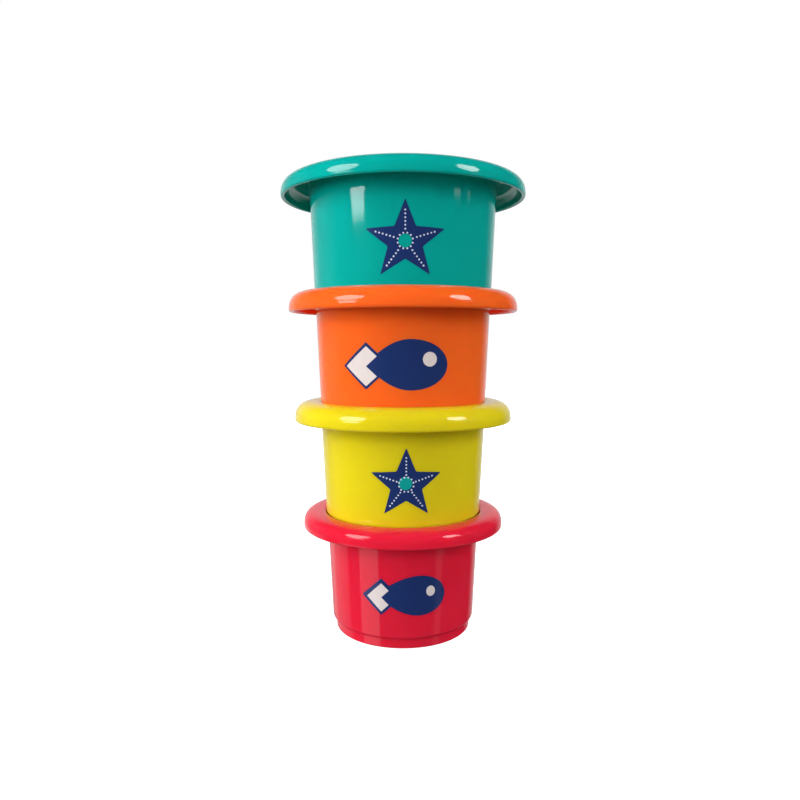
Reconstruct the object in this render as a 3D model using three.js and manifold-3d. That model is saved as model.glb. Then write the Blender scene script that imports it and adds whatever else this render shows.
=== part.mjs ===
// A tower of four stacking cups, rim up, with the biggest on top.
// Millimetres, +Z up. The origin is on the floor, at the centre of the bottom cup's foot ring.
// Every cup is one moulding: a recessed base in a foot ring, a tapered wall, a seat in the mouth for
// the foot of the next cup, and a wide domed rim that is hollow underneath.
import * as THREE from "three";
import { mergeVertices } from "three/addons/utils/BufferGeometryUtils.js";
import Module from "manifold-3d";

const wasm = await Module();
wasm.setup();

// Driving dimensions of each cup, from the floor up. height is from the foot to the crown of the rim.
// wallTop and wallBase are the outer radii of the tapered wall, at the crown and at the shoulder.
// domeHeight is from the crown down to the rim's widest ring, skirtHeight from the crown to the lip's
// bottom, and domePower is the exponent of the dome's superellipse: more is squarer.
const CUPS = [
  {
    name: "red_cup", colour: 0xd81e36, height: 52.2, rimRadius: 43.7, wallTop: 33.5, wallBase: 31.2,
    domeHeight: 6.2, skirtHeight: 7.1, domePower: 3.0, drainHoles: 3,
  },
  {
    name: "yellow_cup", colour: 0xe6d414, height: 53.9, rimRadius: 47.1, wallTop: 36.1, wallBase: 33.8,
    domeHeight: 7.8, skirtHeight: 8.9, domePower: 2.6, drainHoles: 4,
  },
  {
    name: "orange_cup", colour: 0xf06426, height: 52.6, rimRadius: 49.2, wallTop: 37.9, wallBase: 35.9,
    domeHeight: 7.8, skirtHeight: 8.9, domePower: 2.4, drainHoles: 5,
  },
  {
    name: "teal_cup", colour: 0x00a99d, height: 53.0, rimRadius: 52.0, wallTop: 40.1, wallBase: 38.1,
    domeHeight: 7.4, skirtHeight: 8.3, domePower: 2.65, drainHoles: 6,
  },
];

// Dimensions that all four cups share.
const WALL = 1.8; // thickness of the wall
const BASE = 2.0; // thickness of the base panel
const BASE_RECESS = 1.6; // from the floor up to the underside of the base panel
const BASE_FILLET = 2.5; // inside corner between base and wall
const FOOT_INSET = 1.6; // from the wall's outer face in to the foot ring
const FOOT_HEIGHT = 4.2; // plain height of the foot ring
const FOOT_WIDTH = 2.4; // radial width of the foot ring
const FOOT_ROUNDING = 0.6; // bottom edges of the foot ring
const SHOULDER_HEIGHT = 1.6; // rounded step from the foot ring out to the wall
const RIM_SKIN = 1.8; // thickness of the domed rim
const UNDERSIDE_FILLET = 1.5; // between the wall and the hollow underside of the rim
const COLLAR_WALL = 1.4; // thickness around the mouth's bore
const COLLAR_DROP = 0.5; // from the ledge of the seat down to where the collar is full
const FLARE_HEIGHT = 1.4; // the wall flares out to the collar over this height
const MOUTH_ROUNDING = 2.8; // quarter round from the crown in and down to the mouth's bore
const MOUTH_CLEARANCE = 0.9; // radial room between a seated foot ring and the mouth's bore
const TOP_MOUTH_INSET = 1.5; // the top cup's bore, in from its wall, as no foot sets it
const SEAT_DEPTH = 5.8; // from a crown down to the foot of the cup seated in it
const SEAT_GAP = 0.3; // from that foot down to the ledge of the seat
const LEDGE_INSET = 2.3; // from the wall's outer face in to the ledge's inner edge
const LEDGE_BEVEL = 1.0; // height of the slope under the ledge's inner edge
const DRAIN_HOLE_RADIUS = 1.0;
const DRAIN_RING_RADIUS = 12.0;

const CIRCLE_SEGMENTS = 40;
const HOLE_SEGMENTS = 12;
const MERGE_DISTANCE = 1e-4;

// Points of a quarter of an ellipse or superellipse, from the angle "from" to the angle "to" (radians,
// 0 is +r and a quarter turn is +z). Its first point is left out where skipFirst is 1.
function arc(centreR, centreZ, radiusR, radiusZ, from, to, steps, power = 2, skipFirst = 0) {
  const points = [];
  for (let i = skipFirst; i <= steps; i += 1) {
    const angle = from + ((to - from) * i) / steps;
    const across = Math.sign(Math.cos(angle)) * Math.abs(Math.cos(angle)) ** (2 / power);
    const up = Math.sign(Math.sin(angle)) * Math.abs(Math.sin(angle)) ** (2 / power);
    points.push(new THREE.Vector2(centreR + radiusR * across, centreZ + radiusZ * up));
  }
  return points;
}

// The outer radius of the tapered wall at height z, carried straight on past both of its ends.
function wallRadius(cup, z) {
  const shoulderTop = FOOT_HEIGHT + SHOULDER_HEIGHT;
  return cup.wallBase + ((cup.wallTop - cup.wallBase) * (z - shoulderTop)) / (cup.height - shoulderTop);
}

// The height of the ledge that the next cup's foot stands just above.
function ledgeHeight(cup) {
  return cup.height - SEAT_DEPTH - SEAT_GAP;
}

// The foot ring and the shoulder above it, from the middle of the base's underside outwards.
function footOutline(cup) {
  const outer = cup.wallBase - FOOT_INSET;
  const inner = outer - FOOT_WIDTH;
  const round = FOOT_ROUNDING;
  return [
    new THREE.Vector2(0, BASE_RECESS),
    new THREE.Vector2(inner, BASE_RECESS),
    ...arc(inner + round, round, round, round, Math.PI, 1.5 * Math.PI, 1),
    ...arc(outer - round, round, round, round, -0.5 * Math.PI, 0, 1),
    new THREE.Vector2(outer, FOOT_HEIGHT),
    ...arc(outer, FOOT_HEIGHT + SHOULDER_HEIGHT, FOOT_INSET, SHOULDER_HEIGHT, -0.5 * Math.PI, 0, 2, 2, 1),
  ];
}

// The outside of the rim: up the wall, under the dome, round the lip and over the dome to the crown.
function rimOutline(cup, mouthRadius) {
  const crownRadius = mouthRadius + MOUTH_ROUNDING;
  const widest = cup.height - cup.domeHeight;
  const lipDrop = cup.skirtHeight - cup.domeHeight;
  const lipHalf = RIM_SKIN / 2;
  const collarBottom = ledgeHeight(cup) - COLLAR_DROP;
  const flareStart = collarBottom - FLARE_HEIGHT;
  const collar = mouthRadius + COLLAR_WALL;
  const dome = cup.rimRadius - crownRadius;
  const underside = cup.height - RIM_SKIN;
  const hollow = dome - RIM_SKIN;
  const fillet = UNDERSIDE_FILLET;
  return [
    new THREE.Vector2(wallRadius(cup, flareStart), flareStart),
    new THREE.Vector2(collar, collarBottom),
    ...arc(collar + fillet, underside - fillet, fillet, fillet, Math.PI, 0.5 * Math.PI, 1),
    ...arc(crownRadius, widest, hollow, cup.domeHeight - RIM_SKIN, 0.35 * Math.PI, 0, 2, cup.domePower),
    ...arc(cup.rimRadius - lipHalf, widest, lipHalf, lipDrop, Math.PI, 2 * Math.PI, 3, 2, 1),
    ...arc(crownRadius, widest, dome, cup.domeHeight, 0, 0.5 * Math.PI, 5, cup.domePower, 1),
  ];
}

// The mouth, its seat ledge, and the inside of the cup down to the middle of the base.
function insideOutline(cup, mouthRadius) {
  const crownRadius = mouthRadius + MOUTH_ROUNDING;
  const ledge = ledgeHeight(cup);
  const bevelBottom = ledge - LEDGE_BEVEL;
  const floor = BASE_RECESS + BASE;
  const wallFoot = floor + BASE_FILLET;
  const round = MOUTH_ROUNDING;
  const cornerRadius = wallRadius(cup, wallFoot) - WALL - BASE_FILLET;
  return [
    ...arc(crownRadius, cup.height - round, round, round, 0.5 * Math.PI, Math.PI, 3, 2, 1),
    new THREE.Vector2(mouthRadius, ledge),
    new THREE.Vector2(wallRadius(cup, ledge) - LEDGE_INSET, ledge),
    new THREE.Vector2(wallRadius(cup, bevelBottom) - WALL, bevelBottom),
    ...arc(cornerRadius, wallFoot, BASE_FILLET, BASE_FILLET, 0, -0.5 * Math.PI, 2),
    new THREE.Vector2(0, floor),
  ];
}

// A closed three.js geometry as a manifold-3d solid. Triangles that a lathe leaves with no area
// where its outline meets the axis are dropped.
function solidFrom(geometry) {
  const bare = geometry.clone();
  bare.deleteAttribute("normal");
  bare.deleteAttribute("uv");
  const merged = mergeVertices(bare, MERGE_DISTANCE);
  const corners = merged.index.array;
  const triangles = [];
  for (let i = 0; i < corners.length; i += 3) {
    const [a, b, c] = corners.slice(i, i + 3);
    if (a !== b && b !== c && c !== a) triangles.push(a, b, c);
  }
  const vertProperties = merged.attributes.position.array;
  const triVerts = new Uint32Array(triangles);
  return new wasm.Manifold(new wasm.Mesh({ numProp: 3, vertProperties, triVerts }));
}

function geometryFrom(solid) {
  const mesh = solid.getMesh();
  const geometry = new THREE.BufferGeometry();
  geometry.setAttribute("position", new THREE.BufferAttribute(mesh.vertProperties, 3));
  geometry.setIndex(new THREE.BufferAttribute(mesh.triVerts, 1));
  geometry.computeVertexNormals();
  return geometry;
}

// A ring of small drain holes straight through the base panel.
function drillDrainHoles(solid, count) {
  let drilled = solid;
  for (let i = 0; i < count; i += 1) {
    const angle = (2 * Math.PI * i) / count;
    const drill = new THREE.CylinderGeometry(
      DRAIN_HOLE_RADIUS, DRAIN_HOLE_RADIUS, 3 * BASE, HOLE_SEGMENTS,
    );
    drill.rotateX(Math.PI / 2);
    drill.translate(
      DRAIN_RING_RADIUS * Math.sin(angle),
      -DRAIN_RING_RADIUS * Math.cos(angle),
      BASE_RECESS + BASE / 2,
    );
    drilled = drilled.subtract(solidFrom(drill));
  }
  return drilled;
}

function makeCup(cup, mouthRadius) {
  const outline = [
    ...footOutline(cup),
    ...rimOutline(cup, mouthRadius),
    ...insideOutline(cup, mouthRadius),
  ];
  const turned = new THREE.LatheGeometry(outline, CIRCLE_SEGMENTS);
  turned.rotateX(Math.PI / 2);
  const drilled = drillDrainHoles(solidFrom(turned), cup.drainHoles);
  const plastic = new THREE.MeshStandardMaterial({ color: cup.colour, roughness: 0.25, metalness: 0 });
  const mesh = new THREE.Mesh(geometryFrom(drilled), plastic);
  mesh.name = cup.name;
  return mesh;
}

const tower = new THREE.Group();
let floorHeight = 0;
CUPS.forEach((cup, i) => {
  const above = CUPS[i + 1];
  const mouthRadius = above
    ? above.wallBase - FOOT_INSET + MOUTH_CLEARANCE
    : cup.wallTop - TOP_MOUTH_INSET;
  const mesh = makeCup(cup, mouthRadius);
  mesh.position.z = floorHeight;
  tower.add(mesh);
  floorHeight += cup.height - SEAT_DEPTH;
});

export default tower;
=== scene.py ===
# Looks of a tower of four stacking cups: finely turned cups, printed pictures, plastic and light.
# Lengths are in millimetres up to the point where a mesh is made, which is in metres, as the frame is.
# Heights within a cup are from its own foot. The pictures face -Y.
import math

import bmesh
import bpy
from mathutils import Matrix, Vector
from mathutils.geometry import delaunay_2d_cdt


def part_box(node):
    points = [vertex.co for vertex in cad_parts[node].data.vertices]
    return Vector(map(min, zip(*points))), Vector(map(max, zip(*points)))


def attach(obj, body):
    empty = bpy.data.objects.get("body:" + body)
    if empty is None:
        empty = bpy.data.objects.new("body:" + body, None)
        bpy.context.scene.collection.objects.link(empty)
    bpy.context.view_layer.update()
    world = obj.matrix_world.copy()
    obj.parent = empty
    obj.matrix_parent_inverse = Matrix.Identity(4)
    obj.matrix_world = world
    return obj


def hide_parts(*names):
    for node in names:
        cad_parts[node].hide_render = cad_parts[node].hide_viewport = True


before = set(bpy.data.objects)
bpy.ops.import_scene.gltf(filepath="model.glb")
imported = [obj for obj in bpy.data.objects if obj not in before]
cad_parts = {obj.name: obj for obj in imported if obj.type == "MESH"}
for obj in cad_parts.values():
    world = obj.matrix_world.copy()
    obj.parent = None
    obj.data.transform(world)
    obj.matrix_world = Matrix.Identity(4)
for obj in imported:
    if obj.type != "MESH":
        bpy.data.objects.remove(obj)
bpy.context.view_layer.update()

MM = 0.001

# ---------------------------------------------------------------- the cups, from the floor up
# The same driving dimensions as the CAD part. Height, rim and place come from the frame itself.
CUPS = [
    {
        "body": "red_cup", "slot": "red_plastic", "wall_top": 33.5, "wall_base": 31.2,
        "dome_height": 6.2, "skirt_height": 7.1, "dome_power": 3.0, "drain_holes": 3,
    },
    {
        "body": "yellow_cup", "slot": "yellow_plastic", "wall_top": 36.1, "wall_base": 33.8,
        "dome_height": 7.8, "skirt_height": 8.9, "dome_power": 2.6, "drain_holes": 4,
    },
    {
        "body": "orange_cup", "slot": "orange_plastic", "wall_top": 37.9, "wall_base": 35.9,
        "dome_height": 7.8, "skirt_height": 8.9, "dome_power": 2.4, "drain_holes": 5,
    },
    {
        "body": "teal_cup", "slot": "teal_plastic", "wall_top": 40.1, "wall_base": 38.1,
        "dome_height": 7.4, "skirt_height": 8.3, "dome_power": 2.65, "drain_holes": 6,
    },
]
WALL = 1.8
BASE = 2.0
BASE_RECESS = 1.6
BASE_FILLET = 2.5
FOOT_INSET = 1.6
FOOT_HEIGHT = 4.2
FOOT_WIDTH = 2.4
FOOT_ROUNDING = 0.6
SHOULDER_HEIGHT = 1.6
RIM_SKIN = 1.8
UNDERSIDE_FILLET = 1.5
COLLAR_WALL = 1.4
COLLAR_DROP = 0.5
FLARE_HEIGHT = 1.4
MOUTH_ROUNDING = 2.8
MOUTH_CLEARANCE = 0.9
TOP_MOUTH_INSET = 1.5
SEAT_DEPTH = 5.8
SEAT_GAP = 0.3
LEDGE_INSET = 2.3
LEDGE_BEVEL = 1.0
DRAIN_HOLE_RADIUS = 1.0
DRAIN_RING_RADIUS = 12.0

# Fine roundings that the CAD part leaves out, and the mark that the moulding gate leaves.
FLARE_ROUNDING = 1.0
SMALL_ROUNDING = 0.3
FOOT_FILLET = 0.7
DRAIN_ROUNDING = 0.35
PANEL_RADIUS = 17.0
GATE_RADIUS = 3.2
GATE_MARGIN = 0.6
GATE_DEPTH = 0.5
GATE_SLOPE = 0.35
GATE_ROUNDING = 0.25
NUB_RADIUS = 0.9
NUB_HEIGHT = 0.35
NUB_SLOPE = 0.08
NUB_ROUNDING = 0.1

# The shoulder's arc starts at this angle, in degrees, and the corner below it lies this far above the
# foot ring's plain height. The hollow's arc starts where the fillet beside the collar has ended.
SHOULDER_START = -75
SHOULDER_GAP = 0.05
HOLLOW_START = 68

# How finely the curves are divided, and how far apart the points on a straight line are, at its ends and
# along it.
SEGMENTS = 192
HOLE_SEGMENTS = 32
SHOULDER_STEPS = 8
HOLLOW_STEPS = 18
LIP_STEPS = 20
DOME_STEPS = 36
MOUTH_STEPS = 16
CORNER_STEPS = 6
SUPPORT = 0.25
LONGEST_STEP = 3.0
PANEL_SPACING = 2.4
# An outline that ends this near to the axis closes on it.
ON_AXIS = 1e-9
# Points this near to each other are one: in a flat panel, and in a mesh, where it is in metres.
SAME_PLACE = 1e-7
MERGE_DISTANCE = 1e-6
# Twice the area, in square millimetres, under which a triangle is dropped.
FLAT_TRIANGLE = 1e-5

# ---------------------------------------------------------------- the printed pictures
# Places on a wall are (along, up): along the wall to the right of the front line, and above the foot.
INK_THICKNESS = 0.05
OVERLAP_THICKNESS = 0.06
TOP_INK_THICKNESS = 0.08
INK_DEPTH = 0.05
INK_EDGE_ANGLE = 40
PRINT_SPACING = 1.3
DISC_SEGMENTS = 48
STAR_ARMS = 5
STAR_TIP_ROUNDING = 0.15
STAR_NOTCH_ROUNDING = 0.8
DOT_RADIUS = 0.34
DOT_SEGMENTS = 20
DOTS_PER_ARM = 6
DOTS_IN_RING = 12
RING_RADIUS = 2.95
STARS = {
    "teal_cup": {
        "centre": (0.72, 22.33), "radii": (16.35, 15.6), "notch": 0.43, "arm_dots": (4.6, 11.95),
        "disc": (0.72, 22.33, 2.55), "disc_ink": None,
    },
    "yellow_cup": {
        "centre": (1.2, 22.9), "radii": (15.0, 14.75), "notch": 0.44, "arm_dots": (4.0, 10.95),
        "disc": (0.87, 23.4, 2.7), "disc_ink": "teal_ink",
    },
}
# A fish has a tail, which is a navy rhombus under a white chevron, a drop for its body, and a round eye.
FISH = {
    "orange_cup": {
        "tail": (-14.95, 21.6), "tail_half": (10.5, 9.3),
        "chevron": (-14.95, 21.5), "chevron_half": (9.1, 7.85),
        "body_ends": (-14.8, 18.0), "body_peak": 2.9, "body_half": 9.97, "body_up": 22.15,
        "eye": (10.5, 24.3), "eye_radii": (2.85, 2.85),
    },
    "red_cup": {
        "tail": (-9.0, 22.5), "tail_half": (8.4, 7.75),
        "chevron": (-9.0, 22.2), "chevron_half": (6.2, 6.0),
        "body_ends": (-11.0, 17.8), "body_peak": 6.8, "body_half": 8.4, "body_up": 23.1,
        "eye": (11.4, 24.75), "eye_radii": (1.9, 2.2),
    },
}
TAIL_ROUNDING = 0.2
CHEVRON_ROUNDING = 0.12
BODY_TAPER_POWER = 0.88
BODY_STEPS = 40

# ---------------------------------------------------------------- colours, in linear light
PLASTICS = {
    "red_plastic": (0.72, 0.0145, 0.043),
    "yellow_plastic": (0.70, 0.578, 0.012),
    "orange_plastic": (0.94, 0.131, 0.016),
    "teal_plastic": (0.002, 0.365, 0.322),
}
INKS = {
    "navy_ink": (0.012, 0.030, 0.130),
    "white_ink": (0.69, 0.62, 0.61),
    "teal_ink": (0.004, 0.31, 0.28),
}
DOT_WHITE = (0.62, 0.68, 0.80)
PAPER = ((0.86, 0.86, 0.865), (0.90, 0.90, 0.90))
TINT_CHANGE = 0.04
INK_TINT_CHANGE = 0.03

# The plastic is slightly translucent: how much of its light goes into it, and how deep, in metres.
GLOW_THROUGH = 0.6
GLOW_DEPTH = 0.004
PLASTIC_IOR = 1.49
PLASTIC_SPECULAR = 0.45
PLASTIC_ROUGHNESS = (0.035, 0.065)
SCUFF_ROUGHNESS = 0.05
INK_SPECULAR = 0.4
INK_ROUGHNESS = (0.12, 0.2)

# ---------------------------------------------------------------- stage, lights and camera
# Lengths are in metres here, and angles in degrees but for the camera's tilt, which is in radians.
FLOOR_RADIUS = 1.6
FLOOR_RINGS = (1, 0.6, 0.35, 0.2, 0.1, 0.05)
FLOOR_SEGMENTS = 96
FLOOR_LEVEL = -0.00005
FLOOR_GLOW = 0.75
# Each light faces the tower's axis. Its row holds its name, azimuth to the right of the camera's side,
# elevation, distance, the height that it is aimed at, shape, width, height and radiance.
# These ones only fill, and don't show in the gloss.
FILL_LIGHTS = [
    ("left_box", -57, 30, 1.30, 0.13, "RECTANGLE", 0.58, 0.68, 3.35),
    ("left_fill", -95, 12, 1.20, 0.13, "RECTANGLE", 0.80, 0.70, 4.9),
    ("right_fill", 95, 12, 1.20, 0.13, "RECTANGLE", 0.80, 0.70, 5.8),
    ("top_fill", 0, 70, 1.00, 0.13, "RECTANGLE", 0.80, 0.60, 1.15),
    ("low_fill", -45, 2, 1.20, 0.13, "RECTANGLE", 0.50, 0.40, 8.0),
    ("front_fill", -10, 20, 1.20, 0.13, "RECTANGLE", 0.50, 0.40, 8.0),
    ("back_fill", 180, 20, 1.20, 0.13, "RECTANGLE", 0.80, 0.70, 4.0),
]
# These ones only show in the gloss, as its highlights.
GLOSS_CARDS = [
    ("left_card", -57, 30, 1.00, 0.13, "ELLIPSE", 0.50, 0.48, 6.0),
    ("left_strip", -54, 12.6, 1.00, 0.13, "RECTANGLE", 0.34, 0.075, 8.5),
    ("left_step", -54, 9.35, 1.00, 0.13, "RECTANGLE", 0.28, 0.038, 8.0),
    ("left_tail", -54, 8.0, 1.00, 0.13, "RECTANGLE", 0.24, 0.012, 4.0),
    ("right_card", 61, 30, 1.00, 0.13, "ELLIPSE", 0.35, 0.42, 8.0),
    ("right_strip", 65.8, 12.5, 1.00, 0.13, "RECTANGLE", 0.15, 0.07, 2.0),
    ("right_slit", 83, 12.5, 1.00, 0.13, "RECTANGLE", 0.06, 0.07, 1.2),
    ("table_card", -44, 0, 0.082, -0.01, "RECTANGLE", 0.039, 0.086, 1.0),
    ("table_slit", 46.5, 0, 0.084, -0.01, "RECTANGLE", 0.014, 0.086, 0.3),
    ("table_side", -104, 0, 0.090, -0.01, "RECTANGLE", 0.080, 0.086, 0.38),
]
WORLD_SEEN = 1.0
# Radiance in front of the object and behind it, as the gloss shows it, and where the change lies, as the
# direction's part along Y.
WORLD_GLOSS = (0.015, 0.65)
GLOSS_CHANGE = (0.60, 0.88)
# A soft glow in the gloss from behind on the left: its azimuth, its radiance at its edge and middle, and
# the cosines of the angles from its middle where it starts and is full.
SIDE_GLOW_AZIMUTH = -122
SIDE_GLOW = (0.0, 0.22)
SIDE_GLOW_CHANGE = (0.82, 0.99)
# Radiance below the object and above it, as diffuse light, and where the change lies, along Z.
WORLD_DIFFUSE = (0.20, 0.32)
DIFFUSE_CHANGE = (-0.15, 0.15)
CAMERA_AT = (-0.00127, -0.3052, 0.1251)
CAMERA_TILT = 0.082
CAMERA_LENS = 31.26
SENSOR_WIDTH = 36.0
CLIP_START = 0.01


# ---------------------------------------------------------------- outlines
def superellipse(centre, radii, start, end, steps, power=2.0):
    """Points round part of a superellipse, from one angle to another in degrees, 0 being outwards."""
    points = []
    for i in range(steps + 1):
        angle = math.radians(start + (end - start) * i / steps)
        across, up = math.cos(angle), math.sin(angle)
        size = (abs(across) ** power + abs(up) ** power) ** (-1 / power)
        points.append((centre[0] + radii[0] * size * across, centre[1] + radii[1] * size * up))
    return points


def rounded_corner(before, corner, after, radius, steps):
    """An arc that touches both sides of a corner."""
    corner = Vector(corner)
    back = (Vector(before) - corner).normalized()
    ahead = (Vector(after) - corner).normalized()
    half = back.angle(ahead) / 2
    centre = corner + (back + ahead).normalized() * radius / math.sin(half)
    first = corner + back * radius / math.tan(half) - centre
    last = corner + ahead * radius / math.tan(half) - centre
    sweep = first.angle(last)
    points = []
    for i in range(steps + 1):
        share = i / steps
        spoke = first * math.sin((1 - share) * sweep) + last * math.sin(share * sweep)
        points.append(tuple(centre + spoke / math.sin(sweep)))
    return points


def straight_steps(start, end):
    """Points between two ends of a straight line: one close to each end, and the rest evenly spaced."""
    start, end = Vector(start), Vector(end)
    length = (end - start).length
    if length < 3 * SUPPORT:
        return []
    count = max(1, math.ceil((length - 2 * SUPPORT) / LONGEST_STEP))
    places = [SUPPORT + (length - 2 * SUPPORT) * i / count for i in range(count + 1)]
    return [tuple(start.lerp(end, place / length)) for place in places]


def outline_from(pieces):
    """One outline from corners, given as (r, z, rounding), and from ready curves, given as lists."""
    flat = []
    for piece in pieces:
        if isinstance(piece, list):
            flat += [(point, 0.0, True) for point in piece]
        else:
            flat.append((piece[:2], piece[2], False))
    runs = []
    for i, (point, radius, is_curve) in enumerate(flat):
        if radius > 0:
            steps = max(CORNER_STEPS, math.ceil(CORNER_STEPS * radius ** 0.5))
            runs.append((rounded_corner(flat[i - 1][0], point, flat[i + 1][0], radius, steps), False))
        else:
            runs.append(([point], is_curve))
    outline = list(runs[0][0])
    for (previous, was_curve), (run, is_curve) in zip(runs, runs[1:]):
        if not (was_curve and is_curve):
            outline += straight_steps(previous[-1], run[0])
        outline += run
    return outline


def wall_radius(cup, up):
    """The outer radius of a cup's tapered wall, carried straight on past both of its ends."""
    shoulder_top = FOOT_HEIGHT + SHOULDER_HEIGHT
    share = (up - shoulder_top) / (cup["height"] - shoulder_top)
    return cup["wall_base"] + (cup["wall_top"] - cup["wall_base"]) * share


def ledge_height(cup):
    """The height of the ledge that the next cup's foot stands just above."""
    return cup["height"] - SEAT_DEPTH - SEAT_GAP


def foot_outline(cup):
    """From the edge of the base's flat underside, round the foot ring, to the shoulder."""
    outer = cup["wall_base"] - FOOT_INSET
    inner = outer - FOOT_WIDTH
    shoulder_centre = (outer, FOOT_HEIGHT + SHOULDER_HEIGHT)
    shoulder_radii = (FOOT_INSET, SHOULDER_HEIGHT)
    return [
        (PANEL_RADIUS, BASE_RECESS, 0),
        (inner, BASE_RECESS, FOOT_FILLET),
        (inner, 0, FOOT_ROUNDING),
        (outer, 0, FOOT_ROUNDING),
        (outer, FOOT_HEIGHT + SHOULDER_GAP, SMALL_ROUNDING),
        superellipse(shoulder_centre, shoulder_radii, SHOULDER_START, 0, SHOULDER_STEPS),
    ]


def rim_outline(cup):
    """Up the wall, under the dome, round the lip and over the dome to the crown."""
    height, dome_height, power = cup["height"], cup["dome_height"], cup["dome_power"]
    crown_radius = cup["mouth_radius"] + MOUTH_ROUNDING
    widest = height - dome_height
    lip_drop = cup["skirt_height"] - dome_height
    lip_half = RIM_SKIN / 2
    collar_bottom = ledge_height(cup) - COLLAR_DROP
    flare_start = collar_bottom - FLARE_HEIGHT
    collar = cup["mouth_radius"] + COLLAR_WALL
    dome = cup["rim_radius"] - crown_radius
    hollow = (dome - RIM_SKIN, dome_height - RIM_SKIN)
    lip_centre = (cup["rim_radius"] - lip_half, widest)
    return [
        (wall_radius(cup, flare_start), flare_start, FLARE_ROUNDING),
        (collar, collar_bottom, FLARE_ROUNDING),
        (collar, height - RIM_SKIN, UNDERSIDE_FILLET),
        superellipse((crown_radius, widest), hollow, HOLLOW_START, 0, HOLLOW_STEPS, power),
        superellipse(lip_centre, (lip_half, lip_drop), 180, 360, LIP_STEPS)[1:],
        superellipse((crown_radius, widest), (dome, dome_height), 0, 90, DOME_STEPS, power)[1:],
    ]


def inside_outline(cup):
    """The mouth, its seat ledge, and the inside down to the edge of the floor's flat middle."""
    height, mouth_radius = cup["height"], cup["mouth_radius"]
    ledge = ledge_height(cup)
    bevel_bottom = ledge - LEDGE_BEVEL
    floor = BASE_RECESS + BASE
    mouth_centre = (mouth_radius + MOUTH_ROUNDING, height - MOUTH_ROUNDING)
    return [
        superellipse(mouth_centre, (MOUTH_ROUNDING, MOUTH_ROUNDING), 90, 180, MOUTH_STEPS)[1:],
        (mouth_radius, ledge, SMALL_ROUNDING),
        (wall_radius(cup, ledge) - LEDGE_INSET, ledge, SMALL_ROUNDING / 2),
        (wall_radius(cup, bevel_bottom) - WALL, bevel_bottom, SMALL_ROUNDING),
        (wall_radius(cup, floor) - WALL, floor, BASE_FILLET),
        (PANEL_RADIUS, floor, 0),
    ]


def gate_outline(level):
    """A shallow dimple with a trimmed nub in its middle, from its edge in to the axis."""
    deep = level + GATE_DEPTH
    nub_end = deep - NUB_HEIGHT
    return outline_from([
        (GATE_RADIUS + GATE_MARGIN, level, 0),
        (GATE_RADIUS, level, GATE_ROUNDING),
        (GATE_RADIUS - GATE_SLOPE, deep, GATE_ROUNDING),
        (NUB_RADIUS + NUB_SLOPE, deep, NUB_ROUNDING),
        (NUB_RADIUS, nub_end, NUB_ROUNDING),
        (NUB_RADIUS / 3, nub_end, 0),
    ]) + [(0.0, nub_end)]


# ---------------------------------------------------------------- mesh parts, as points and faces
def joined(parts):
    """Several (points, faces) as one."""
    points, faces = [], []
    for more_points, more_faces in parts:
        start = len(points)
        points += more_points
        faces += [[start + i for i in face] for face in more_faces]
    return points, faces


def lathe(outline, segments, centre=(0.0, 0.0), flip=False):
    """An outline of (r, z) turned about a vertical line. Where it ends on the line it closes there."""
    closes = abs(outline[-1][0]) < ON_AXIS
    rings = outline[:-1] if closes else outline
    points = []
    for radius, up in rings:
        for i in range(segments):
            angle = 2 * math.pi * i / segments
            x = centre[0] + radius * math.sin(angle)
            y = centre[1] - radius * math.cos(angle)
            points.append((x, y, up))
    faces = []
    for ring in range(len(rings) - 1):
        low, high = ring * segments, (ring + 1) * segments
        for i in range(segments):
            j = (i + 1) % segments
            faces.append([low + i, low + j, high + j, high + i])
    if closes:
        last = (len(rings) - 1) * segments
        points.append((centre[0], centre[1], outline[-1][1]))
        faces += [[last + i, last + (i + 1) % segments, len(points) - 1] for i in range(segments)]
    if flip:
        faces = [face[::-1] for face in faces]
    return points, faces


def circle(centre, radii, segments):
    """A closed loop round a circle or an ellipse, anticlockwise."""
    loop = []
    for i in range(segments):
        angle = 2 * math.pi * i / segments
        loop.append((centre[0] + radii[0] * math.sin(angle), centre[1] - radii[1] * math.cos(angle)))
    return loop


def is_inside(loops, x, y):
    """Even-odd test against closed loops."""
    inside = False
    for loop in loops:
        for (x0, y0), (x1, y1) in zip(loop, loop[1:] + loop[:1]):
            if (y0 > y) != (y1 > y) and x < x0 + (y - y0) * (x1 - x0) / (y1 - y0):
                inside = not inside
    return inside


def gap_to(loops, x, y):
    """Distance from a point to the nearest side of the loops."""
    nearest = math.inf
    for loop in loops:
        for (x0, y0), (x1, y1) in zip(loop, loop[1:] + loop[:1]):
            dx, dy = x1 - x0, y1 - y0
            share = min(1.0, max(0.0, ((x - x0) * dx + (y - y0) * dy) / (dx * dx + dy * dy)))
            nearest = min(nearest, math.hypot(x - x0 - share * dx, y - y0 - share * dy))
    return nearest


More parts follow.
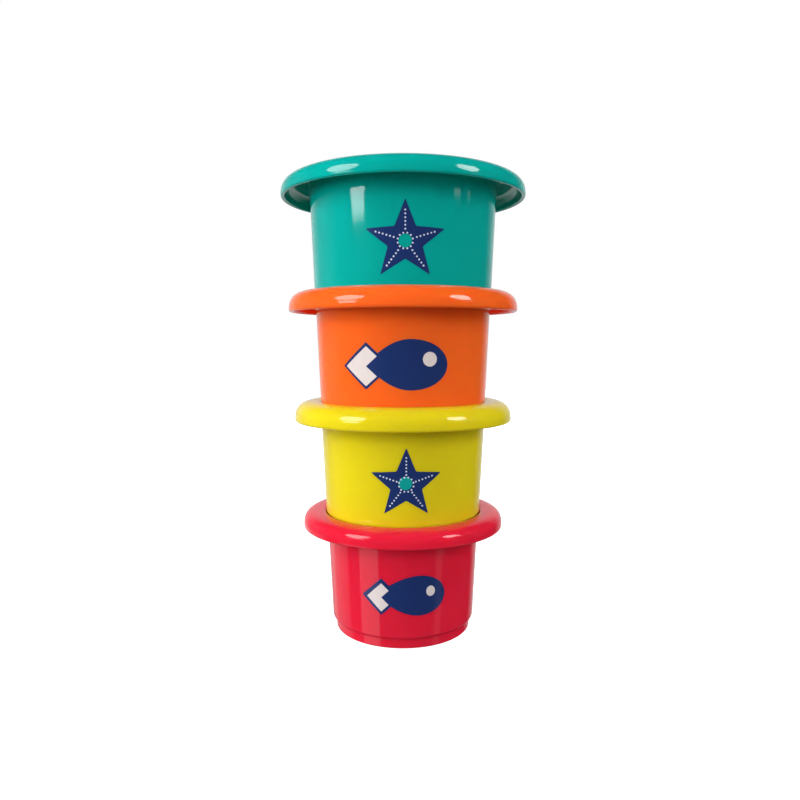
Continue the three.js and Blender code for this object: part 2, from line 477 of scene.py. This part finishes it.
def filled(loops, spacing):
    """Triangles between closed loops, with a loose grid of points inside so that they can bend."""
    points = [Vector(point) for loop in loops for point in loop]
    sides = []
    start = 0
    for loop in loops:
        sides += [(start + i, start + (i + 1) % len(loop)) for i in range(len(loop))]
        start += len(loop)
    low_x, high_x = min(p.x for p in points), max(p.x for p in points)
    low_y, high_y = min(p.y for p in points), max(p.y for p in points)
    row_step = spacing * math.sqrt(0.75)
    for row in range(1, math.ceil((high_y - low_y) / row_step)):
        y = low_y + row * row_step
        for column in range(1, math.ceil((high_x - low_x) / spacing) + 1):
            x = low_x + (column - 0.5 * (row % 2)) * spacing
            if is_inside(loops, x, y) and gap_to(loops, x, y) > 0.5 * spacing:
                points.append(Vector((x, y)))
    found, _, triangles, _, _, _ = delaunay_2d_cdt(points, sides, [], 0, SAME_PLACE)
    kept = []
    for triangle in triangles:
        a, b, c = (found[i] for i in triangle)
        middle = (a + b + c) / 3
        turn = (b - a).cross(c - a)
        if abs(turn) > FLAT_TRIANGLE and is_inside(loops, middle.x, middle.y):
            kept.append(list(triangle) if turn > 0 else list(triangle)[::-1])
    return [tuple(point) for point in found], kept


def flat_panel(loops, level, faces_up):
    """A level sheet of triangles between closed loops."""
    points, triangles = filled(loops, PANEL_SPACING)
    faces = triangles if faces_up else [face[::-1] for face in triangles]
    return [(x, y, level) for x, y in points], faces


def mesh_object(name, parts, lift):
    """A closed mesh in metres from parts in millimetres, raised by lift metres."""
    points, faces = joined(parts)
    mesh = bpy.data.meshes.new(name)
    mesh.from_pydata([(x * MM, y * MM, z * MM + lift) for x, y, z in points], [], faces)
    weld(mesh)
    mesh.polygons.foreach_set("use_smooth", [True] * len(mesh.polygons))
    made = bpy.data.objects.new(name, mesh)
    bpy.context.scene.collection.objects.link(made)
    return made


def weld(mesh):
    """Joins points that lie together."""
    work = bmesh.new()
    work.from_mesh(mesh)
    bmesh.ops.remove_doubles(work, verts=work.verts, dist=MERGE_DISTANCE)
    work.to_mesh(mesh)
    work.free()


# ---------------------------------------------------------------- cups
def drain_centres(cup):
    return circle((0, 0), (DRAIN_RING_RADIUS, DRAIN_RING_RADIUS), cup["drain_holes"])


def make_shell(cup):
    """The whole moulding of one cup."""
    floor = BASE_RECESS + BASE
    outline = outline_from(foot_outline(cup) + rim_outline(cup) + inside_outline(cup))
    hole_edge = DRAIN_HOLE_RADIUS + DRAIN_ROUNDING
    gate_edge = GATE_RADIUS + GATE_MARGIN
    bore_rounding = DRAIN_ROUNDING * 0.8
    loops = [circle((0, 0), (PANEL_RADIUS, PANEL_RADIUS), SEGMENTS)]
    loops += [circle(centre, (hole_edge, hole_edge), HOLE_SEGMENTS) for centre in drain_centres(cup)]
    gate = circle((0, 0), (gate_edge, gate_edge), HOLE_SEGMENTS)
    bore = outline_from([
        (hole_edge, BASE_RECESS, 0),
        (DRAIN_HOLE_RADIUS, BASE_RECESS, bore_rounding),
        (DRAIN_HOLE_RADIUS, floor, bore_rounding),
        (hole_edge, floor, 0),
    ])
    parts = [
        lathe(outline, SEGMENTS),
        flat_panel(loops + [gate], BASE_RECESS, faces_up=False),
        flat_panel(loops, floor, faces_up=True),
        lathe(gate_outline(BASE_RECESS), HOLE_SEGMENTS, flip=True),
    ]
    parts += [lathe(bore, HOLE_SEGMENTS, centre, flip=True) for centre in drain_centres(cup)]
    return mesh_object(cup["body"] + "_shell", parts, cup["lift"])


# ---------------------------------------------------------------- prints
def rounded_loop(corners, roundings, steps=4):
    """A closed loop of straight sides with rounded corners."""
    loop = []
    for i, (corner, radius) in enumerate(zip(corners, roundings)):
        before, after = corners[i - 1], corners[(i + 1) % len(corners)]
        loop += rounded_corner(before, corner, after, radius, steps)
    return loop


def split_sides(loop):
    """The loop with its long sides divided, so that they can follow the curve of a wall."""
    divided = []
    for start, end in zip(loop, loop[1:] + loop[:1]):
        (x0, y0), (x1, y1) = start, end
        count = max(1, math.ceil(math.dist(start, end) / PRINT_SPACING))
        for i in range(count):
            share = i / count
            divided.append((x0 + (x1 - x0) * share, y0 + (y1 - y0) * share))
    return divided


def star_loop(centre, radii, notch):
    """The edge of a star. Its notches lie at the share notch of its radii."""
    corners, roundings = [], []
    for i in range(2 * STAR_ARMS):
        angle = math.pi / 2 + math.pi * i / STAR_ARMS
        size = notch if i % 2 else 1.0
        corners.append((
            centre[0] + radii[0] * size * math.cos(angle),
            centre[1] + radii[1] * size * math.sin(angle),
        ))
        roundings.append(STAR_NOTCH_ROUNDING if i % 2 else STAR_TIP_ROUNDING)
    return split_sides(rounded_loop(corners, roundings))


def rhombus(centre, half, rounding):
    corners = [
        (centre[0] - half[0], centre[1]),
        (centre[0], centre[1] - half[1]),
        (centre[0] + half[0], centre[1]),
        (centre[0], centre[1] + half[1]),
    ]
    return split_sides(rounded_loop(corners, [rounding] * 4))


def chevron(centre, half, rounding):
    """The left half of a rhombus, and as much of the right as a notch to its centre leaves."""
    corners = [
        (centre[0] - half[0], centre[1]),
        (centre[0], centre[1] - half[1]),
        (centre[0] + half[0] / 2, centre[1] - half[1] / 2),
        (centre[0], centre[1]),
        (centre[0] + half[0] / 2, centre[1] + half[1] / 2),
        (centre[0], centre[1] + half[1]),
    ]
    return split_sides(rounded_loop(corners, [rounding] * 6))


def fish_body(ends, peak, half_height, up):
    """A drop: pointed towards the tail, and half an ellipse at the nose."""
    tail, nose = ends
    top = []
    for i in range(BODY_STEPS):
        share = i / BODY_STEPS
        along = tail + (peak - tail) * share
        top.append((along, half_height * math.sin(math.pi / 2 * share) ** BODY_TAPER_POWER))
    for i in range(BODY_STEPS + 1):
        turn = math.pi / 2 * i / BODY_STEPS
        top.append((peak + (nose - peak) * math.sin(turn), half_height * math.cos(turn)))
    bottom = [(along, -rise) for along, rise in top[1:-1]]
    top[0], top[-1] = (tail, 0.0), (nose, 0.0)
    return [(along, up + rise) for along, rise in top + bottom[::-1]][::-1]


def star_dots(star):
    """The loops of a star's dots: a row along each arm, and a ring round the middle."""
    (along, up), radii, (first, last) = star["centre"], star["radii"], star["arm_dots"]
    squash = radii[1] / radii[0]
    places = []
    for arm in range(STAR_ARMS):
        angle = math.pi / 2 + 2 * math.pi * arm / STAR_ARMS
        for i in range(DOTS_PER_ARM):
            reach = first + (last - first) * i / (DOTS_PER_ARM - 1)
            places.append((along + reach * math.cos(angle), up + squash * reach * math.sin(angle)))
    for i in range(DOTS_IN_RING):
        angle = 2 * math.pi * (i + 0.5) / DOTS_IN_RING
        places.append((along + RING_RADIUS * math.cos(angle), up + RING_RADIUS * math.sin(angle)))
    return [circle(place, (DOT_RADIUS, DOT_RADIUS), DOT_SEGMENTS) for place in places]


def wall_point(cup, along, up, proud):
    """A place on a cup's wall, so far out of its surface."""
    angle = along / wall_radius(cup, up)
    radius = wall_radius(cup, up) + proud
    return radius * math.sin(angle), -radius * math.cos(angle), up


def ink_layer(cup, loops, thickness):
    """A closed thin solid of ink that fills the loops: its outside, its inside and its edges."""
    points, triangles = filled(loops, PRINT_SPACING)
    count = len(points)
    solid = [wall_point(cup, along, up, thickness) for along, up in points]
    solid += [wall_point(cup, along, up, -INK_DEPTH) for along, up in points]
    sides = {}
    for triangle in triangles:
        for start, end in zip(triangle, triangle[1:] + triangle[:1]):
            sides[start, end] = True
    faces = triangles + [[count + i for i in triangle[::-1]] for triangle in triangles]
    for start, end in sides:
        if (end, start) not in sides:
            faces.append([end, start, count + start, count + end])
    return solid, faces


def make_print(cup, ink, parts, material=None):
    """One ink of a cup's picture, in the ink's own material or in another."""
    piece = mesh_object(f"{cup['body']}_print_{ink.split('_')[0]}", parts, cup["lift"])
    piece.data.set_sharp_from_angle(angle=math.radians(INK_EDGE_ANGLE))
    finish_piece(piece, cup["body"], ink, material)


def make_star(cup, star):
    """A dotted star with a disc in its middle, which is printed or is a hole that shows the plastic."""
    star_edge = star_loop(star["centre"], star["radii"], star["notch"])
    disc_along, disc_up, disc_radius = star["disc"]
    disc = circle((disc_along, disc_up), (disc_radius, disc_radius), DISC_SEGMENTS)
    if star["disc_ink"]:
        make_print(cup, "navy_ink", [ink_layer(cup, [star_edge], INK_THICKNESS)])
        make_print(cup, star["disc_ink"], [ink_layer(cup, [disc], TOP_INK_THICKNESS)])
    else:
        make_print(cup, "navy_ink", [ink_layer(cup, [star_edge, disc], INK_THICKNESS)])
    dots = [ink_layer(cup, [dot], TOP_INK_THICKNESS) for dot in star_dots(star)]
    make_print(cup, "white_ink", dots, dot_material)


def make_fish(cup, fish):
    body = fish_body(fish["body_ends"], fish["body_peak"], fish["body_half"], fish["body_up"])
    tail = rhombus(fish["tail"], fish["tail_half"], TAIL_ROUNDING)
    white_tail = chevron(fish["chevron"], fish["chevron_half"], CHEVRON_ROUNDING)
    eye = circle(fish["eye"], fish["eye_radii"], DISC_SEGMENTS)
    make_print(cup, "navy_ink", [
        ink_layer(cup, [tail], INK_THICKNESS),
        ink_layer(cup, [body], OVERLAP_THICKNESS),
    ])
    make_print(cup, "white_ink", [
        ink_layer(cup, [white_tail], TOP_INK_THICKNESS),
        ink_layer(cup, [eye], TOP_INK_THICKNESS),
    ])


# ---------------------------------------------------------------- materials
def add(tree, kind, inputs=None, **settings):
    """A node with its settings and inputs, each input a value or another node's output."""
    node = tree.nodes.new(kind)
    for key, value in settings.items():
        setattr(node, key, value)
    for key, value in (inputs or {}).items():
        if isinstance(value, bpy.types.NodeSocket):
            tree.links.new(value, node.inputs[key])
        else:
            node.inputs[key].default_value = value
    return node


def noise(tree, place, scale, detail, roughness=0.5):
    inputs = {"Vector": place, "Scale": scale, "Detail": detail, "Roughness": roughness}
    return add(tree, "ShaderNodeTexNoise", inputs).outputs["Fac"]


def mapped(tree, value, low, high, to_low, to_high):
    inputs = {"Value": value, "From Min": low, "From Max": high, "To Min": to_low, "To Max": to_high}
    return add(tree, "ShaderNodeMapRange", inputs).outputs["Result"]


def new_material(name):
    material = bpy.data.materials.new(name)
    material.use_nodes = True
    material.node_tree.nodes.clear()
    return material, material.node_tree


def shaded(colour, factor):
    return tuple(min(1.0, channel * factor) for channel in colour) + (1.0,)


def blended(tree, factor, low_colour, high_colour):
    """A colour between two others, by a factor from 0 to 1."""
    inputs = {"Factor": factor, "A": low_colour, "B": high_colour}
    return add(tree, "ShaderNodeMix", inputs, data_type="RGBA").outputs["Result"]


def raised(tree, height, strength, distance, normal=None):
    """A bump, on top of another one where normal is given."""
    inputs = {"Height": height, "Strength": strength, "Distance": distance}
    if normal is not None:
        inputs["Normal"] = normal
    return add(tree, "ShaderNodeBump", inputs).outputs["Normal"]


def plastic_material(name, colour):
    """Glossy moulded polypropylene: even colour, a nearly flat skin, finger smears and fine scuffs."""
    material, tree = new_material(name)
    place = add(tree, "ShaderNodeTexCoord").outputs["Object"]
    cloud = noise(tree, place, scale=28, detail=3)
    smear = noise(tree, place, scale=70, detail=4, roughness=0.6)
    ripple = noise(tree, place, scale=55, detail=1)
    grain = noise(tree, place, scale=1400, detail=2)
    stretched = add(tree, "ShaderNodeMapping", {"Vector": place, "Scale": (1.0, 1.0, 0.12)})
    scuff = noise(tree, stretched.outputs["Vector"], scale=900, detail=5, roughness=0.7)
    darker, lighter = shaded(colour, 1 - TINT_CHANGE), shaded(colour, 1 + TINT_CHANGE)
    rough = add(tree, "ShaderNodeMath", {
        0: mapped(tree, smear, 0.4, 0.7, *PLASTIC_ROUGHNESS),
        1: mapped(tree, scuff, 0.62, 0.72, 0, SCUFF_ROUGHNESS),
    }, operation="ADD")
    waves = raised(tree, ripple, strength=0.25, distance=0.0004)
    shader = add(tree, "ShaderNodeBsdfPrincipled", {
        "Base Color": blended(tree, mapped(tree, cloud, 0.35, 0.65, 0, 1), darker, lighter),
        "Roughness": rough.outputs["Value"],
        "IOR": PLASTIC_IOR,
        "Specular IOR Level": PLASTIC_SPECULAR,
        "Subsurface Weight": GLOW_THROUGH,
        "Subsurface Radius": tuple(channel / max(colour) for channel in colour),
        "Subsurface Scale": GLOW_DEPTH,
        "Normal": raised(tree, grain, strength=0.10, distance=0.00006, normal=waves),
    })
    add(tree, "ShaderNodeOutputMaterial", {"Surface": shader.outputs["BSDF"]})
    return material


def ink_material(name, colour):
    """Pad-printed ink: a thin, slightly uneven coat, a little less glossy than the plastic."""
    material, tree = new_material(name)
    place = add(tree, "ShaderNodeTexCoord").outputs["Object"]
    coat = noise(tree, place, scale=500, detail=4, roughness=0.6)
    darker, lighter = shaded(colour, 1 - INK_TINT_CHANGE), shaded(colour, 1 + INK_TINT_CHANGE)
    shader = add(tree, "ShaderNodeBsdfPrincipled", {
        "Base Color": blended(tree, mapped(tree, coat, 0.3, 0.7, 0, 1), darker, lighter),
        "Roughness": mapped(tree, coat, 0.3, 0.7, *INK_ROUGHNESS),
        "Specular IOR Level": INK_SPECULAR,
        "Normal": raised(tree, coat, strength=0.1, distance=0.00002),
    })
    add(tree, "ShaderNodeOutputMaterial", {"Surface": shader.outputs["BSDF"]})
    return material


def paper_material():
    """White sweep paper with a trace of fibre, which glows to the camera."""
    material, tree = new_material("floor_paper")
    place = add(tree, "ShaderNodeTexCoord").outputs["Object"]
    fibre = noise(tree, place, scale=600, detail=5, roughness=0.7)
    darker, lighter = (shaded(colour, 1.0) for colour in PAPER)
    seen = add(tree, "ShaderNodeLightPath").outputs["Is Camera Ray"]
    glow = add(tree, "ShaderNodeMath", {0: seen, 1: FLOOR_GLOW}, operation="MULTIPLY")
    shader = add(tree, "ShaderNodeBsdfPrincipled", {
        "Base Color": blended(tree, mapped(tree, fibre, 0.35, 0.65, 0, 1), darker, lighter),
        "Roughness": 0.8,
        "Specular IOR Level": 0.1,
        "Emission Color": (1.0, 1.0, 1.0, 1.0),
        "Emission Strength": glow.outputs["Value"],
        "Normal": raised(tree, fibre, strength=0.1, distance=0.0001),
    })
    add(tree, "ShaderNodeOutputMaterial", {"Surface": shader.outputs["BSDF"]})
    return material


def finish_piece(piece, body, slot, material=None):
    """Gives a piece its material, or its slot's, and makes it ride on its cup."""
    piece.data.materials.append(material or materials[slot])
    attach(piece, body)


# ---------------------------------------------------------------- stage, lights and camera
def make_floor():
    """A pale floor that only the camera sees: the world gives the light that it would throw back."""
    rings = [(FLOOR_RADIUS / MM * share, 0.0) for share in FLOOR_RINGS]
    floor = mesh_object("floor", [lathe(rings + [(0.0, 0.0)], FLOOR_SEGMENTS)], FLOOR_LEVEL)
    floor.data.materials.append(paper_material())
    floor.visible_glossy = False
    floor.visible_diffuse = False
    floor.visible_shadow = False


def make_light(name, azimuth, elevation, distance, aim, shape, width, tall, radiance, in_gloss):
    """A flat light, for the gloss only or for the diffuse light only."""
    light = bpy.data.lights.new(name, "AREA")
    light.shape = shape
    light.size = width
    light.size_y = tall
    light.energy = radiance * math.pi * width * tall
    lamp = bpy.data.objects.new(name, light)
    turn, rise = math.radians(azimuth), math.radians(elevation)
    away = Vector((math.cos(rise) * math.sin(turn), -math.cos(rise) * math.cos(turn), math.sin(rise)))
    lamp.location = Vector((0, 0, aim)) + distance * away
    lamp.rotation_euler = (-away).to_track_quat("-Z", "Y").to_euler()
    lamp.visible_camera = False
    lamp.visible_glossy = in_gloss
    lamp.visible_diffuse = not in_gloss
    bpy.context.scene.collection.objects.link(lamp)


def make_world():
    """White to the camera. The gloss sees it bright behind the object and dark on the camera's side."""
    world = bpy.data.worlds.new("studio")
    world.use_nodes = True
    tree = world.node_tree
    tree.nodes.clear()
    direction = add(tree, "ShaderNodeTexCoord").outputs["Generated"]
    parts = add(tree, "ShaderNodeSeparateXYZ", {"Vector": direction}).outputs
    path = add(tree, "ShaderNodeLightPath").outputs
    turn = math.radians(SIDE_GLOW_AZIMUTH)
    towards_side = {0: direction, 1: (math.sin(turn), -math.cos(turn), 0.0)}
    side = add(tree, "ShaderNodeVectorMath", towards_side, operation="DOT_PRODUCT").outputs["Value"]
    behind_gloss = mapped(tree, parts["Y"], *GLOSS_CHANGE, *WORLD_GLOSS)
    side_gloss = mapped(tree, side, *SIDE_GLOW_CHANGE, *SIDE_GLOW)
    gloss = add(tree, "ShaderNodeMath", {0: behind_gloss, 1: side_gloss}, operation="ADD")
    lit = add(tree, "ShaderNodeMix", {
        "Factor": path["Is Glossy Ray"],
        "A": mapped(tree, parts["Z"], *DIFFUSE_CHANGE, *WORLD_DIFFUSE),
        "B": gloss.outputs["Value"],
    }).outputs["Result"]
    strength = add(tree, "ShaderNodeMix", {
        "Factor": path["Is Camera Ray"], "A": lit, "B": WORLD_SEEN,
    }).outputs["Result"]
    sky = add(tree, "ShaderNodeBackground", {"Color": (1.0, 1.0, 1.0, 1.0), "Strength": strength})
    add(tree, "ShaderNodeOutputWorld", {"Surface": sky.outputs["Background"]})
    bpy.context.scene.world = world


def make_camera():
    lens = bpy.data.cameras.new("camera")
    lens.lens = CAMERA_LENS
    lens.sensor_width = SENSOR_WIDTH
    lens.clip_start = CLIP_START
    camera = bpy.data.objects.new("camera", lens)
    turned = Matrix.Rotation(math.pi / 2 - CAMERA_TILT, 4, "X")
    camera.matrix_world = Matrix.Translation(CAMERA_AT) @ turned
    bpy.context.scene.collection.objects.link(camera)
    bpy.context.scene.camera = camera


# ---------------------------------------------------------------- build
def measure_cup(cup, above):
    """Fills in what comes from the frame, in millimetres but for the lift, and the mouth's radius."""
    low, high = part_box(cup["body"])
    cup["lift"] = low.z
    cup["height"] = round((high.z - low.z) / MM, 3)
    cup["rim_radius"] = round(high.x / MM, 3)
    if above:
        cup["mouth_radius"] = above["wall_base"] - FOOT_INSET + MOUTH_CLEARANCE
    else:
        cup["mouth_radius"] = cup["wall_top"] - TOP_MOUTH_INSET


materials = {slot: plastic_material(slot, colour) for slot, colour in PLASTICS.items()}
materials.update({slot: ink_material(slot, colour) for slot, colour in INKS.items()})
dot_material = ink_material("dot_ink", DOT_WHITE)

make_camera()
make_world()
for row in FILL_LIGHTS:
    make_light(*row, in_gloss=False)
for row in GLOSS_CARDS:
    make_light(*row, in_gloss=True)
make_floor()
bpy.context.scene.view_settings.view_transform = "Standard"

for cup, above in zip(CUPS, CUPS[1:] + [None]):
    measure_cup(cup, above)
    shell = make_shell(cup)
    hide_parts(cup["body"])
    finish_piece(shell, cup["body"], cup["slot"])
    if cup["body"] in STARS:
        make_star(cup, STARS[cup["body"]])
    else:
        make_fish(cup, FISH[cup["body"]])
